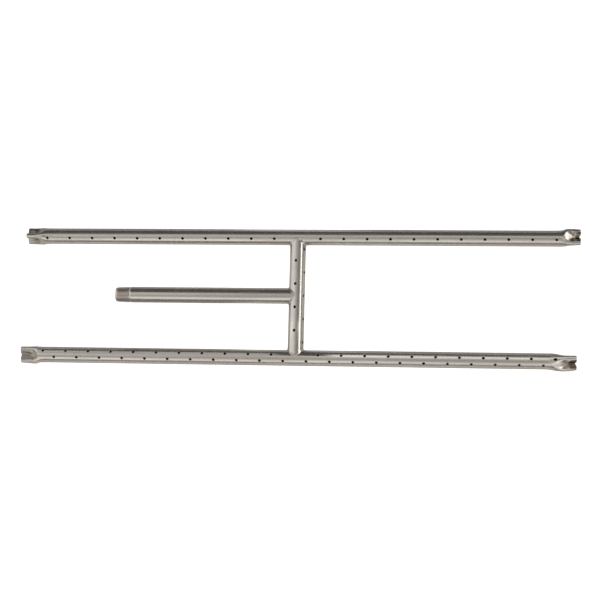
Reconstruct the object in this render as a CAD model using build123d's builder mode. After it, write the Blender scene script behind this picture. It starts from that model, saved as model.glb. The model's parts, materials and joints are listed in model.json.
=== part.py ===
"""H-pattern gas burner: two crimped bars, a cross tube and a threaded inlet pipe, TIG welded.

Millimetres, +Z up. The bars run along X, the cross tube along Y, and the inlet leaves towards -X.
The origin is under the middle of the cross tube, on the surface that the tubes lie on.
Angles round a tube are measured from straight up, positive towards -Y on a bar and towards +X on
the cross tube.
"""
from build123d import *
from math import atan2, cos, hypot, radians, sin, sqrt
import os

os.makedirs("parts", exist_ok=True)

# Pipe: 3/8 in nominal, thin wall
OUTER = 17.15 / 2
WALL = 1.65
INNER = OUTER - WALL
AXIS_Z = OUTER
PASSAGE_DIA = 13.5

# Layout
BAR_SPACING = 132.0
FRONT_Y = -BAR_SPACING / 2
REAR_Y = BAR_SPACING / 2
FRONT_ENDS = (-304.8, 301.7)
REAR_ENDS = (-303.0, 305.0)
BRANCH_Y = 1.6
INLET_END = -200.4
FIT_GAP = 0.05

# Gas ports: each row's angle round its tube, and how much a bar's rows wind round it per inch
INCH = 25.4
PORT_DIA = 3.0
REAR_ROW = 19.3
REAR_WIND = -0.25
FRONT_INNER_ROW = -19.5
FRONT_OUTER_ROW = 29.0
FRONT_WIND = 0.75
CROSS_LEFT_ROW = -6.7
CROSS_RIGHT_ROW = 69.0

# Crimped ends: three folded arms, with a valley pressed in between each two. A fold is a knuckle at
# its tip and two flanks, and SEAM is the hairline that is left inside it.
CRIMP_LENGTH = 30.0
KNUCKLE_HALF = 1.9
KNUCKLE_DROP = 0.8
FLANK_HALF = 2.7
FLANK_OUT = 5.2
VALLEY = 3.0
SEAM_KNUCKLE_HALF = 0.2
SEAM_FLANK_HALF = 0.9
KNUCKLE_TURN = radians(15)
FLANK_TURN = radians(43)
ARM_SPACING = 120
HAIR = 0.03
NOTCH_DEPTH = 1.9
NOTCH_REACH = 10.0
NOTCH_RADIUS = (NOTCH_REACH**2 + NOTCH_DEPTH**2) / (2 * NOTCH_DEPTH)

# An arm is its angle, its reach at the end of the bar and its reach at the shoulder of the crimp
FRONT_LEFT_ARMS = ((-50, 10.0, 10.1), (70, 10.0, 10.8), (190, 8.3, 8.2))
FRONT_RIGHT_ARMS = ((-27, 9.9, 9.6), (93, 9.2, 10.5), (213, 8.7, 8.5))
REAR_LEFT_ARMS = ((5.5, 9.8, 9.4), (125.5, 9.9, 10.1), (245.5, 9.8, 9.6))
REAR_RIGHT_ARMS = ((-76.5, 10.0, 10.6), (43.5, 9.8, 10.2), (163.5, 8.6, 8.3))

# Sections along a crimp: the share of its length from the end, how far it is folded, and how far
# an arm's reach is that of the shoulder. The inside stops at section PINCHED, where the walls meet.
SECTIONS = (
    (1.0, 0.0, 0.0),
    (0.9, 0.0, 0.05),
    (0.75, 0.06, 0.45),
    (0.6, 0.33, 0.9),
    (0.45, 0.75, 1.0),
    (0.28, 1.0, 0.6),
    (0.1, 1.0, 0.1),
    (-0.1, 1.0, 0.0),
)
PINCHED = 4

# Inlet thread: 3/8-18 NPT
THREAD_PITCH = INCH / 18
THREAD_LENGTH = 17.2
THREAD_DEPTH = 0.6 * THREAD_PITCH
THREAD_TAPER = 1 / 32
THREAD_LAND = 0.12
NOSE_LENGTH = 2.6
NOSE_STEP = 1.2

# Weld beads. A saddle joint's stops short of the underside by SADDLE_OPEN degrees on each side.
BEAD = 1.6
SADDLE_OPEN = 10
SEAM_BEAD = 0.9
SEAM_HUB = 1.3
SEAM_LENGTH = 6.0

# Reach of the drills through one wall, and of the rods that cope a branch
DRILL_LENGTH = 1.5 * OUTER
COPE_LENGTH = 4 * OUTER


def mix(start, stop, share):
    """The value a share of the way from start to stop."""
    return start + (stop - start) * share


def crimp_outline(arms, folded, shoulder, inset):
    """Points round one section of a crimp, six for each arm, an inset inside its surface.

    A valley starts as a flat on the pipe, and each arm's flanks slide down that flat until the
    fold is closed.
    """
    knuckle_half = SEAM_KNUCKLE_HALF if inset else KNUCKLE_HALF
    flank_half = SEAM_FLANK_HALF if inset else FLANK_HALF
    rim = OUTER - inset + (HAIR if inset else -HAIR)
    reached = min(1.0, folded + shoulder)
    knuckle_across = mix(rim * sin(KNUCKLE_TURN), knuckle_half, folded)
    knuckle_drop = mix(rim * (1 - cos(KNUCKLE_TURN)), KNUCKLE_DROP, folded)
    valley = mix(rim, VALLEY - inset, folded)
    flank_turn = mix(FLANK_TURN, atan2(flank_half, FLANK_OUT), folded)
    on_flat = valley / cos(radians(ARM_SPACING / 2) - flank_turn)
    flank = max(min(rim, on_flat), hypot(flank_half, FLANK_OUT))
    flank_out = flank * cos(flank_turn)
    flank_across = flank * sin(flank_turn)
    points = []
    for angle, end_reach, shoulder_reach in arms:
        tip = mix(rim, mix(end_reach, shoulder_reach, shoulder) - inset, reached)
        profile = (
            (flank_out, flank_across),
            (tip - knuckle_drop, knuckle_across),
            (tip, 0),
            (tip - knuckle_drop, -knuckle_across),
            (flank_out, -flank_across),
        )
        turn = radians(angle)
        for out, across in profile:
            points.append((across * cos(turn) - out * sin(turn), out * cos(turn) + across * sin(turn)))
        between = radians(angle + ARM_SPACING / 2)
        points.append((-valley * sin(between), valley * cos(between)))
    return points


def crimp_shell(bar_y, end_x, arms, inset):
    """A crimp's outside, or its inside down to where the walls meet."""
    side = 1 if end_x > 0 else -1
    outlines = []
    for share, folded, shoulder in SECTIONS[:PINCHED] if inset else SECTIONS:
        middle = (end_x - side * share * CRIMP_LENGTH, bar_y, AXIS_Z)
        with BuildSketch(Plane(origin=middle, x_dir=(0, 1, 0), z_dir=(1, 0, 0))) as outline:
            with BuildLine():
                Spline(*crimp_outline(arms, folded, shoulder, inset), periodic=True)
            make_face()
        outlines.append(outline.sketch)
    with BuildPart() as shell:
        loft(sections=outlines)
    return shell.part


def crimped_bar(bar_y, ends, left_arms, right_arms):
    """A bar's pipe with both ends folded shut and notched by the folding."""
    pipe_middle = (ends[0] + ends[1]) / 2
    pipe_length = ends[1] - ends[0] - 2 * CRIMP_LENGTH
    with BuildPart() as bar:
        with BuildSketch(Plane.YZ.offset(pipe_middle)):
            with Locations((bar_y, AXIS_Z)):
                Circle(OUTER)
        extrude(amount=pipe_length / 2, both=True)
        add(crimp_shell(bar_y, ends[0], left_arms, 0))
        add(crimp_shell(bar_y, ends[1], right_arms, 0))
        with BuildSketch(Plane.YZ.offset(pipe_middle)):
            with Locations((bar_y, AXIS_Z)):
                Circle(INNER)
        extrude(amount=pipe_length / 2, both=True, mode=Mode.SUBTRACT)
        add(crimp_shell(bar_y, ends[0], left_arms, WALL), mode=Mode.SUBTRACT)
        add(crimp_shell(bar_y, ends[1], right_arms, WALL), mode=Mode.SUBTRACT)
        for end_x in ends:
            side = 1 if end_x > 0 else -1
            with Locations((end_x + side * (NOTCH_RADIUS - NOTCH_DEPTH), bar_y, AXIS_Z)):
                Sphere(NOTCH_RADIUS, mode=Mode.SUBTRACT)
    return bar.part


def port_drill(plane):
    """The drill that makes one port through the wall that a plane on the tube's axis faces."""
    with BuildPart() as drill:
        with BuildSketch(plane):
            Circle(PORT_DIA / 2)
        extrude(amount=DRILL_LENGTH)
    return drill.part


def bar_row(bar_y, angle, wind, places):
    """Drills for a row of ports along a bar, at the given places in inches."""
    drills = []
    for place in places:
        turn = radians(angle + wind * place)
        facing = (0, -sin(turn), cos(turn))
        drills.append(port_drill(Plane(origin=(place * INCH, bar_y, AXIS_Z), x_dir=(1, 0, 0), z_dir=facing)))
    return drills


def cross_row(angle, places):
    """Drills for a row of ports along the cross tube, at the given places in inches."""
    turn = radians(angle)
    facing = (sin(turn), 0, cos(turn))
    drills = []
    for place in places:
        origin = (0, BRANCH_Y + place * INCH, AXIS_Z)
        drills.append(port_drill(Plane(origin=origin, x_dir=(0, 1, 0), z_dir=facing)))
    return drills


def branch_plane(origin, branch):
    """Plane at a joint's centre, facing along the branch that leaves there."""
    return Plane(origin=(origin[0], origin[1], AXIS_Z), x_dir=(0, 0, 1), z_dir=branch)


def passage(origin, branch):
    """The hole in a wall that lets gas into a branch."""
    with BuildPart() as drill:
        with BuildSketch(branch_plane(origin, branch)):
            Circle(PASSAGE_DIA / 2)
        extrude(amount=DRILL_LENGTH)
    return drill.part


def pipe_core(origin, run, radius, length):
    """A plain rod along a pipe's run, for cutting and trimming at a joint."""
    with BuildPart() as rod:
        with BuildSketch(branch_plane(origin, run)):
            Circle(radius)
        extrude(amount=length / 2, both=True)
    return rod.part


def saddle_weld(origin, branch):
    """A bead round the saddle joint where a branch leaves a pipe, open at the very underside."""
    run = (branch[1], branch[0], 0)
    with BuildPart() as weld:
        for side in (-1, 1):
            lean = ((branch[0] + side * run[0]) / sqrt(2), (branch[1] + side * run[1]) / sqrt(2), 0)
            facing = (lean[1], -lean[0], 0)
            seam_plane = Plane(origin=(origin[0], origin[1], AXIS_Z), x_dir=lean, z_dir=facing)
            with BuildLine(seam_plane) as seam:
                EllipticalCenterArc(
                    (0, 0),
                    OUTER * sqrt(2),
                    OUTER,
                    start_angle=SADDLE_OPEN - 90,
                    arc_size=180 - SADDLE_OPEN,
                )
            with BuildSketch(Plane(origin=seam.line @ 0, z_dir=seam.line % 0)):
                Circle(BEAD)
            sweep(path=seam.line)
        with Locations((origin[0], origin[1], AXIS_Z + OUTER)):
            Sphere(BEAD)
        add(pipe_core(origin, run, OUTER, COPE_LENGTH), mode=Mode.SUBTRACT)
        add(pipe_core(origin, branch, OUTER, COPE_LENGTH), mode=Mode.SUBTRACT)
        with Locations((origin[0], origin[1], -OUTER)):
            Box(COPE_LENGTH, COPE_LENGTH, 2 * OUTER, mode=Mode.SUBTRACT)
    return weld.part


def seam_weld(bar, bar_y, end_x, arms):
    """A bead along the three seams that meet in a bar's folded end."""
    side = 1 if end_x > 0 else -1
    centre = (end_x - side * NOTCH_DEPTH, bar_y, AXIS_Z)
    rise = NOTCH_RADIUS - sqrt(NOTCH_RADIUS**2 - SEAM_LENGTH**2)
    with BuildPart() as weld:
        with Locations(centre):
            Sphere(SEAM_HUB)
        for arm in arms:
            turn = radians(arm[0])
            tip_y = bar_y - SEAM_LENGTH * sin(turn)
            tip = (centre[0] + side * rise, tip_y, AXIS_Z + SEAM_LENGTH * cos(turn))
            with BuildLine() as seam:
                Line(centre, tip)
            with BuildSketch(Plane(origin=centre, z_dir=seam.line % 0)):
                Circle(SEAM_BEAD)
            sweep(path=seam.line)
            with Locations(tip):
                Sphere(SEAM_BEAD)
        add(bar, mode=Mode.SUBTRACT)
    return weld.part


whole_inches = [place for place in range(-11, 12) if place]
half_inches = [place + 0.5 for place in range(-11, 11)]

with BuildPart() as rear_bar:
    add(crimped_bar(REAR_Y, REAR_ENDS, REAR_LEFT_ARMS, REAR_RIGHT_ARMS))
    add(bar_row(REAR_Y, REAR_ROW, REAR_WIND, whole_inches), mode=Mode.SUBTRACT)
    add(passage((0, REAR_Y), (0, -1, 0)), mode=Mode.SUBTRACT)
rear_bar.part.label = "rear_bar"

with BuildPart() as front_bar:
    add(crimped_bar(FRONT_Y, FRONT_ENDS, FRONT_LEFT_ARMS, FRONT_RIGHT_ARMS))
    add(bar_row(FRONT_Y, FRONT_INNER_ROW, FRONT_WIND, whole_inches), mode=Mode.SUBTRACT)
    add(bar_row(FRONT_Y, FRONT_OUTER_ROW, FRONT_WIND, half_inches), mode=Mode.SUBTRACT)
    add(passage((0, FRONT_Y), (0, 1, 0)), mode=Mode.SUBTRACT)
front_bar.part.label = "front_bar"

# The cross tube is coped to sit on both bars
with BuildPart() as cross_tube:
    with BuildSketch(Plane.XZ):
        with Locations((0, AXIS_Z)):
            Circle(OUTER)
            Circle(INNER, mode=Mode.SUBTRACT)
    extrude(amount=BAR_SPACING / 2, both=True)
    for bar_y in (FRONT_Y, REAR_Y):
        add(pipe_core((0, bar_y), (1, 0, 0), OUTER + FIT_GAP, COPE_LENGTH), mode=Mode.SUBTRACT)
    add(cross_row(CROSS_LEFT_ROW, (-1.5, -0.5, 0.5, 1.5)), mode=Mode.SUBTRACT)
    add(cross_row(CROSS_RIGHT_ROW, (-2, -1, 0, 1, 2)), mode=Mode.SUBTRACT)
    add(passage((0, BRANCH_Y), (-1, 0, 0)), mode=Mode.SUBTRACT)
cross_tube.part.label = "cross_tube"

# The inlet pipe is coped to sit on the cross tube, with a tapered thread at its free end
with BuildPart() as inlet_pipe:
    with BuildSketch(Plane.YZ):
        with Locations((BRANCH_Y, AXIS_Z)):
            Circle(OUTER)
            Circle(INNER, mode=Mode.SUBTRACT)
    extrude(amount=INLET_END)
    add(pipe_core((0, BRANCH_Y), (0, 1, 0), OUTER + FIT_GAP, COPE_LENGTH), mode=Mode.SUBTRACT)
    with BuildSketch(Plane(origin=(INLET_END, BRANCH_Y, AXIS_Z), x_dir=(1, 0, 0), z_dir=(0, -1, 0))):
        with BuildLine():
            Polyline(
                (0, OUTER - NOSE_STEP),
                (NOSE_LENGTH, OUTER - THREAD_TAPER * (THREAD_LENGTH - NOSE_LENGTH)),
                (THREAD_LENGTH, OUTER),
                (THREAD_LENGTH, OUTER + WALL),
                (-WALL, OUTER + WALL),
                (-WALL, OUTER - NOSE_STEP),
                close=True,
            )
        make_face()
        for turn in range(int((THREAD_LENGTH - NOSE_LENGTH) / THREAD_PITCH)):
            root_x = NOSE_LENGTH + (turn + 0.5) * THREAD_PITCH
            crest = OUTER - THREAD_TAPER * (THREAD_LENGTH - root_x) + THREAD_LAND
            with BuildLine():
                Polyline(
                    (root_x - THREAD_PITCH / 2, crest),
                    (root_x, crest - THREAD_DEPTH),
                    (root_x + THREAD_PITCH / 2, crest),
                    close=True,
                )
            make_face()
    revolve(axis=Axis((0, BRANCH_Y, AXIS_Z), (1, 0, 0)), mode=Mode.SUBTRACT)
inlet_pipe.part.label = "inlet_pipe"

rear_joint_weld = saddle_weld((0, REAR_Y), (0, -1, 0))
rear_joint_weld.label = "rear_joint_weld"
front_joint_weld = saddle_weld((0, FRONT_Y), (0, 1, 0))
front_joint_weld.label = "front_joint_weld"
inlet_joint_weld = saddle_weld((0, BRANCH_Y), (-1, 0, 0))
inlet_joint_weld.label = "inlet_joint_weld"

front_left_end_weld = seam_weld(front_bar.part, FRONT_Y, FRONT_ENDS[0], FRONT_LEFT_ARMS)
front_left_end_weld.label = "front_left_end_weld"
front_right_end_weld = seam_weld(front_bar.part, FRONT_Y, FRONT_ENDS[1], FRONT_RIGHT_ARMS)
front_right_end_weld.label = "front_right_end_weld"
rear_left_end_weld = seam_weld(rear_bar.part, REAR_Y, REAR_ENDS[0], REAR_LEFT_ARMS)
rear_left_end_weld.label = "rear_left_end_weld"
rear_right_end_weld = seam_weld(rear_bar.part, REAR_Y, REAR_ENDS[1], REAR_RIGHT_ARMS)
rear_right_end_weld.label = "rear_right_end_weld"

for piece in (
    rear_bar.part,
    front_bar.part,
    cross_tube.part,
    inlet_pipe.part,
    rear_joint_weld,
    front_joint_weld,
    inlet_joint_weld,
    front_left_end_weld,
    front_right_end_weld,
    rear_left_end_weld,
    rear_right_end_weld,
):
    export_step(piece, f"parts/{piece.label}.step")
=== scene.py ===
"""Looks of the H-pattern gas burner: polished tube, drilled ports, cut thread and TIG welds.

Meshes are worked out in millimetres in the frame's axes and turned to metres when they are made.
Angles round a tube are measured from straight up, positive towards -Y on a bar and towards +X on
the cross tube.
"""

import json
from collections import namedtuple
from math import atan2, cos, hypot, pi, radians, sin, sqrt

import bpy
import numpy as np
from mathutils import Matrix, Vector, noise


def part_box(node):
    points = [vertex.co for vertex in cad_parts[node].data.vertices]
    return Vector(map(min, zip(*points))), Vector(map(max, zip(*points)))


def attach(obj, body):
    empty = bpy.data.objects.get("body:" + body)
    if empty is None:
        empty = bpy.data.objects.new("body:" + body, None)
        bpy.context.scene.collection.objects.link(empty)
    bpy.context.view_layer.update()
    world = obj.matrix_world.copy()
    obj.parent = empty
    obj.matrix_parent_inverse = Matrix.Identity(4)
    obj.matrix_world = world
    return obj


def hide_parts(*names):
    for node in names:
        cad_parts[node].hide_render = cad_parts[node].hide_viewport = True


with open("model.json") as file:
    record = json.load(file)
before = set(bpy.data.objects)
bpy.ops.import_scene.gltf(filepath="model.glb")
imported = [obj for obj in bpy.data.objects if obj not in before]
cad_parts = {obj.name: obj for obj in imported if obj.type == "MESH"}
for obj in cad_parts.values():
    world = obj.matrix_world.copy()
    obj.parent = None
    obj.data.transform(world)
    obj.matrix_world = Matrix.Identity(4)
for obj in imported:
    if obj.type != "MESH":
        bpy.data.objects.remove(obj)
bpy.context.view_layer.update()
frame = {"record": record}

MM = 0.001
INCH = 25.4

# Driving dimensions, from the frame
cross_low, cross_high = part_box("cross_tube")
OUTER = (cross_high.x - cross_low.x) / 2 / MM
mounts = {mount["name"]: mount for mount in frame["record"]["mounts"]}
INNER = mounts["inlet_bore"]["dims"]["r_mm"]
WALL = OUTER - INNER
INLET_END, BRANCH_Y, AXIS_Z = (place / MM for place in mounts["inlet_bore"]["pos_m"])

# Layout, as the frame was designed
BAR_SPACING = 132.0
FRONT_Y = -BAR_SPACING / 2
REAR_Y = BAR_SPACING / 2
FRONT_ENDS = (-304.8, 301.7)
REAR_ENDS = (-303.0, 305.0)
PASSAGE_RADIUS = 6.75

# Gas ports. A row is its angle round its tube, how much it winds round per inch if it is on a bar,
# and its ports' places in inches.
PORT_RADIUS = 1.5
PORT_CHAMFER = 0.16
WHOLE_INCHES = [place for place in range(-11, 12) if place]
HALF_INCHES = [place + 0.5 for place in range(-11, 11)]
REAR_ROWS = ((19.3, -0.25, WHOLE_INCHES),)
FRONT_ROWS = ((-19.5, 0.75, WHOLE_INCHES), (29.0, 0.75, HALF_INCHES))
CROSS_ROWS = ((-6.7, (-1.5, -0.5, 0.5, 1.5)), (69.0, (-2, -1, 0, 1, 2)))

# Drills: a port's starts inside the bore and ends past the pipe, a passage's crosses one wall
PORT_SIDES = 28
PORT_START = INNER - 2
PORT_OVERRUN = 1
PASSAGE_SIDES = 64
PASSAGE_START = 2.0
PASSAGE_STOP = 1.5 * OUTER

# Crimped ends. An arm is its angle, its reach at the end of the bar and its reach at the shoulder.
CRIMP_LENGTH = 30.0
KNUCKLE_HALF = 1.9
KNUCKLE_DROP = 0.8
FLANK_OUT = 5.2
BORE_KNUCKLE_HALF = 0.2
BORE_FLANK_HALF = 0.9
KNUCKLE_TURN = radians(15)
FLANK_TURN = radians(43)
ARM_SPACING = 120
NOTCH_REACH = 6.8
END_ROUND = 1.0
FRONT_LEFT_ARMS = ((-50, 10.0, 10.1), (70, 10.0, 10.8), (190, 8.3, 8.2))
FRONT_RIGHT_ARMS = ((-27, 9.9, 9.6), (93, 9.2, 10.5), (213, 8.7, 8.5))
REAR_LEFT_ARMS = ((5.5, 9.8, 9.4), (125.5, 9.9, 10.1), (245.5, 9.8, 9.6))
REAR_RIGHT_ARMS = ((43.5, 9.8, 10.2), (163.5, 8.6, 8.3), (283.5, 10.0, 10.6))

# A crimp: its arms, how far in its folds are closed and where they fade, how hollow the fade is, how
# deep its end face is dished, how near the axis its valleys come, half the width of its arms at the
# root, how dark its valleys are painted near the end, as painted shade with some heat scorch, and
# how far in, and how tempered they are and about where
Crimp = namedtuple("Crimp", "arms closed faded hollow dish valley flank_half scorch reach temper temper_at")
FRONT_LEFT_CRIMP = Crimp(FRONT_LEFT_ARMS, 10.5, 19.6, 0.75, 0.9, 3.9, 2.9, 0.6, 22.5, 1.0, 17.0)
FRONT_RIGHT_CRIMP = Crimp(FRONT_RIGHT_ARMS, 7.0, 27.0, 1.7, 2.8, 3.4, 3.0, 1.0, 9.5, 0.7, 12.5)
REAR_LEFT_CRIMP = Crimp(REAR_LEFT_ARMS, 7.0, 20.0, 1.1, 0.3, 3.0, 2.7, 0.2, 9.0, 1.0, 10.0)
REAR_RIGHT_CRIMP = Crimp(REAR_RIGHT_ARMS, 5.5, 18.6, 1.3, 2.8, 3.2, 2.9, 1.0, 6.5, 0.8, 9.5)

# Steps on the way from closed to faded, and how far the crimp's reach is the shoulder's there
FADE_STEPS = (0.0, 0.1, 0.35, 0.65, 0.9, 1.0)
FADE_SHOULDER = (0.75, 0.85, 1.0, 0.9, 0.6, 0.45)
FLANK_LEAD = 6.0
SHOULDER_TAIL = 2.5
SHOULDER_LEFT = 0.15

# Rings of a crimp: scales of those across its end face, turns of those round its edge, shares of
# the straight part where the dish dies out, and how many follow up to the pipe
FACE_SCALES = (0.12, 0.3, 0.5, 0.65, 0.78, 0.84, 1 - END_ROUND / OUTER)
EDGE_TURNS = np.linspace(0, pi / 2, 6)[1:]
STRAIGHT = 5.0
STRAIGHT_SHARES = (0.25, 0.5, 0.75)
CRIMP_RINGS = 56
BORE_RINGS = 22
BORE_TIP_SCALE = 0.2
BORE_TIP_LENGTH = 0.3
PIPE_RING_SPACING = INCH / 2

# Inlet: a 3/8-18 NPT thread behind a nose that is turned down by NOSE_STEP, its crests CREST_DROP
# under the pipe. BOTH_FLATS is the flats of crest and root together, in crest flats.
THREAD_PITCH = INCH / 18
THREAD_LENGTH = 17.2
THREAD_DEPTH = 0.5 * THREAD_PITCH
THREAD_TAPER = 1 / 32
NOSE_LENGTH = 2.2
NOSE_STEP = 1.1
CREST_DROP = 0.06
UNDERCUT = 0.5
CHAMFER_RISE = 1.1
CREST_FLAT = 0.26
BOTH_FLATS = 1.6
GROOVE_START = (NOSE_LENGTH - 1.2, NOSE_LENGTH + 0.6)
THREAD_STEP = THREAD_PITCH / 14
THREAD_OVERRUN = 0.2
INLET_PIPE_START = 0.6
INLET_PIPE_RINGS = 22
REAM_LENGTH = 0.8
REAM_RISE = 0.35
CUT_FADE = (THREAD_LENGTH - 0.4, THREAD_LENGTH)

# Joints: each weld's node, its place and the way its branch leaves, and a seed for its wander
JOINTS = (
    ("rear_joint_weld", (0, REAR_Y), (0, -1), 1.3),
    ("front_joint_weld", (0, FRONT_Y), (0, 1), 4.7),
    ("inlet_joint_weld", (0, BRANCH_Y), (-1, 0), 8.1),
)

# Joint beads: stations round the seam, steps across the bead, how far the seam's corners above and
# below are eased, and how far the toes sink in. A leg is the bead's reach over each tube.
WELD_STATIONS = 288
WELD_STEPS = 12
WELD_EASE = 0.22
WELD_SINK = 0.03
LEG_BELOW = 4.0
LEG_ABOVE = 0.9
LEG_CURVE = 0.65
LEG_WANDER = 0.12
LEG_GROUND = 0.45
BULGE_BELOW = 0.15
BULGE_ABOVE = 0.9
BULGE_CURVE = 14
BULGE_WANDER = 0.7
BULGE_LUMPS = 0.6
WANDER_LENGTH = 3.1
LUMP_LENGTH = 1.7
LUMP_ROW = 5
GROUND_FADE = (-0.55, -0.9)
RIPPLE_PITCH = 1.25
RIPPLE_BOW = 1.1
RIPPLE_SHARPNESS = 1.6
RIPPLE_BELOW = 0.02
RIPPLE_ABOVE = 0.2
RIPPLE_CURVE = 16
ROOT_SHARES = (0.75, 0.25)
ROOT_DEPTH = 0.9
ROOT_SWELL = 0.2

# Beads that seal the folds in an end face
SEAL_REACH = 6.4
SEAL_STEPS = 44
SEAL_CORNERS = 14
SEAL_TAPER = 6
SEAL_TIP = 0.02
SEAL_HALF_WIDTH = 1.0
SEAL_WANDER = 0.1
SEAL_WANDER_LENGTH = 1.1
SEAL_PITCH = 1.15
SEAL_HEIGHT = 0.42
SEAL_RIPPLE = 0.14
SEAL_DEPTH = 0.35

# Places on each seam to measure heat from, and the distances between which painted values fade:
# from a seam (HEAT), from a bar's axis (ACROSS) or along it (the rest)
SEAM_STATIONS = 60
SEAM_EASE = 0.05
HEAT_FADE = (1.5, 11.0)
PRESSED_ACROSS = (3.0, OUTER - 0.4)
PRESSED_ALONG = (22, 30)
WORKED_ALONG = (12.0, 34.0)
WORKED_HEAT = 0.35
# Scorch: painted shade, with some heat scorch, that darkens the crimp valleys near each end
SCORCH_SHADE_BOW = 0.5
SCORCH_SHADE_MIDDLE = 4.0
SCORCH_SHADE_FADE = (-2.0, 1.5)
SCORCH_SHADE_ACROSS = (7.8, 8.7)
TEMPER_FADE = (0.8, 5.0)
TEMPER_ACROSS = (OUTER - 0.5, OUTER)

# Places round a ring: a crimp's outline has 18 spans. Angles below are in degrees.
SPAN_STEPS = 10
COLUMNS = 18 * SPAN_STEPS
TURNS = [2 * pi * column / COLUMNS for column in range(COLUMNS)]
CROSS_STATIONS = 26
SHARP_ANGLE = 35
WELD_SHARP_ANGLE = 50
PLAIN_ANGLE = 12


def mix(start, stop, share):
    """The value a share of the way from start to stop."""
    return start + (stop - start) * share


def smooth_step(low, high, value):
    """Rises smoothly from 0 at low to 1 at high."""
    share = np.clip((value - low) / (high - low), 0, 1)
    return share * share * (3 - 2 * share)


def fade(low, high, value):
    """Falls smoothly from 1 at low to 0 at high."""
    return 1 - smooth_step(low, high, value)


def flowing(places, values, place):
    """A smooth curve through the values at rising places that never overshoots them."""
    widths = np.diff(places)
    slopes = np.diff(values) / widths
    tangents = np.zeros(len(places))
    for knot in range(1, len(widths)):
        before, after = slopes[knot - 1], slopes[knot]
        if before * after > 0:
            tangents[knot] = 2 * before * after / (before + after)
    span = int(np.clip(np.searchsorted(places, place) - 1, 0, len(widths) - 1))
    t = (place - places[span]) / widths[span]
    rise = values[span + 1] - values[span]
    bend = (tangents[span] * t * (1 - t) ** 2 - tangents[span + 1] * t * t * (1 - t)) * widths[span]
    return values[span] + rise * t * t * (3 - 2 * t) + bend


def closed_spline(points):
    """A closed smooth curve through points in a plane, SPAN_STEPS places to each span."""
    points = np.array(points, float)
    count = len(points)
    widths = np.linalg.norm(np.roll(points, -1, axis=0) - points, axis=1)
    system = np.zeros((count, count))
    target = np.zeros((count, 2))
    for knot in range(count):
        before, after = (knot - 1) % count, (knot + 1) % count
        system[knot, before] = widths[before]
        system[knot, knot] = 2 * (widths[before] + widths[knot])
        system[knot, after] = widths[knot]
        rise = (points[after] - points[knot]) / widths[knot]
        target[knot] = 6 * (rise - (points[knot] - points[before]) / widths[before])
    bends = np.linalg.solve(system, target)
    places = []
    for knot in range(count):
        after = (knot + 1) % count
        width = widths[knot]
        for step in range(SPAN_STEPS):
            b = step / SPAN_STEPS
            a = 1 - b
            lift = ((a**3 - a) * bends[knot] + (b**3 - b) * bends[after]) * width**2 / 6
            places.append(a * points[knot] + b * points[after] + lift)
    return np.array(places)


def crimp_outline(crimp, from_end, inset):
    """Places (y, z) round one section of a crimp about the bar's axis, an inset inside its surface.

    A valley starts as a flat on the pipe, and each arm's flanks slide down that flat until the
    fold is closed.
    """
    closed, faded = crimp.closed, crimp.faded
    steps_in = [mix(closed, faded, step) for step in FADE_STEPS]
    fading = [(1 - step) ** crimp.hollow for step in FADE_STEPS]
    folded = flowing((-closed, *steps_in, CRIMP_LENGTH), (1, *fading, 0), from_end)
    lead = [mix(closed - FLANK_LEAD, faded, step) for step in FADE_STEPS]
    pinched = flowing((-closed, *lead, CRIMP_LENGTH), (1, *fading, 0), from_end)
    places = (-closed, 0, *steps_in, faded + SHOULDER_TAIL, CRIMP_LENGTH)
    shoulder = flowing(places, (0, 0, *FADE_SHOULDER, SHOULDER_LEFT, 0), from_end)
    knuckle_half = BORE_KNUCKLE_HALF if inset else KNUCKLE_HALF
    flank_half = BORE_FLANK_HALF if inset else crimp.flank_half
    rim = OUTER - inset
    reached = min(1.0, folded + shoulder)
    knuckle_across = mix(rim * sin(KNUCKLE_TURN), knuckle_half, folded)
    knuckle_drop = mix(rim * (1 - cos(KNUCKLE_TURN)), KNUCKLE_DROP, folded)
    valley = mix(rim, crimp.valley - inset, folded)
    flank_turn = mix(FLANK_TURN, atan2(flank_half, FLANK_OUT), pinched)
    on_flat = valley / cos(radians(ARM_SPACING / 2) - flank_turn)
    flank = max(min(rim, on_flat), hypot(flank_half, FLANK_OUT))
    flank_out = flank * cos(flank_turn)
    flank_across = flank * sin(flank_turn)
    points = []
    for angle, end_reach, shoulder_reach in crimp.arms:
        tip = mix(rim, mix(end_reach, shoulder_reach, shoulder) - inset, reached)
        profile = (
            (flank_out, flank_across),
            (tip - knuckle_drop, knuckle_across),
            (tip, 0),
            (tip - knuckle_drop, -knuckle_across),
            (flank_out, -flank_across),
        )
        turn = radians(angle)
        for out, across in profile:
            points.append((across * cos(turn) - out * sin(turn), out * cos(turn) + across * sin(turn)))
        between = radians(angle + ARM_SPACING / 2)
        points.append((-valley * sin(between), valley * cos(between)))
    return closed_spline(points)


def notch_x(end_x, across, crimp):
    """Where the dished end face is, at distances from the bar's axis."""
    side = 1 if end_x > 0 else -1
    dish = crimp.dish * np.clip(1 - (across / NOTCH_REACH) ** 2, 0, 1) ** 2
    return end_x - side * dish


def bar_ring(x, bar_y, outline):
    """A ring of places at x, from an outline about the bar's axis."""
    ring = np.empty((len(outline), 3))
    ring[:, 0] = x
    ring[:, 1] = bar_y + outline[:, 0]
    ring[:, 2] = AXIS_Z + outline[:, 1]
    return ring


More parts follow.
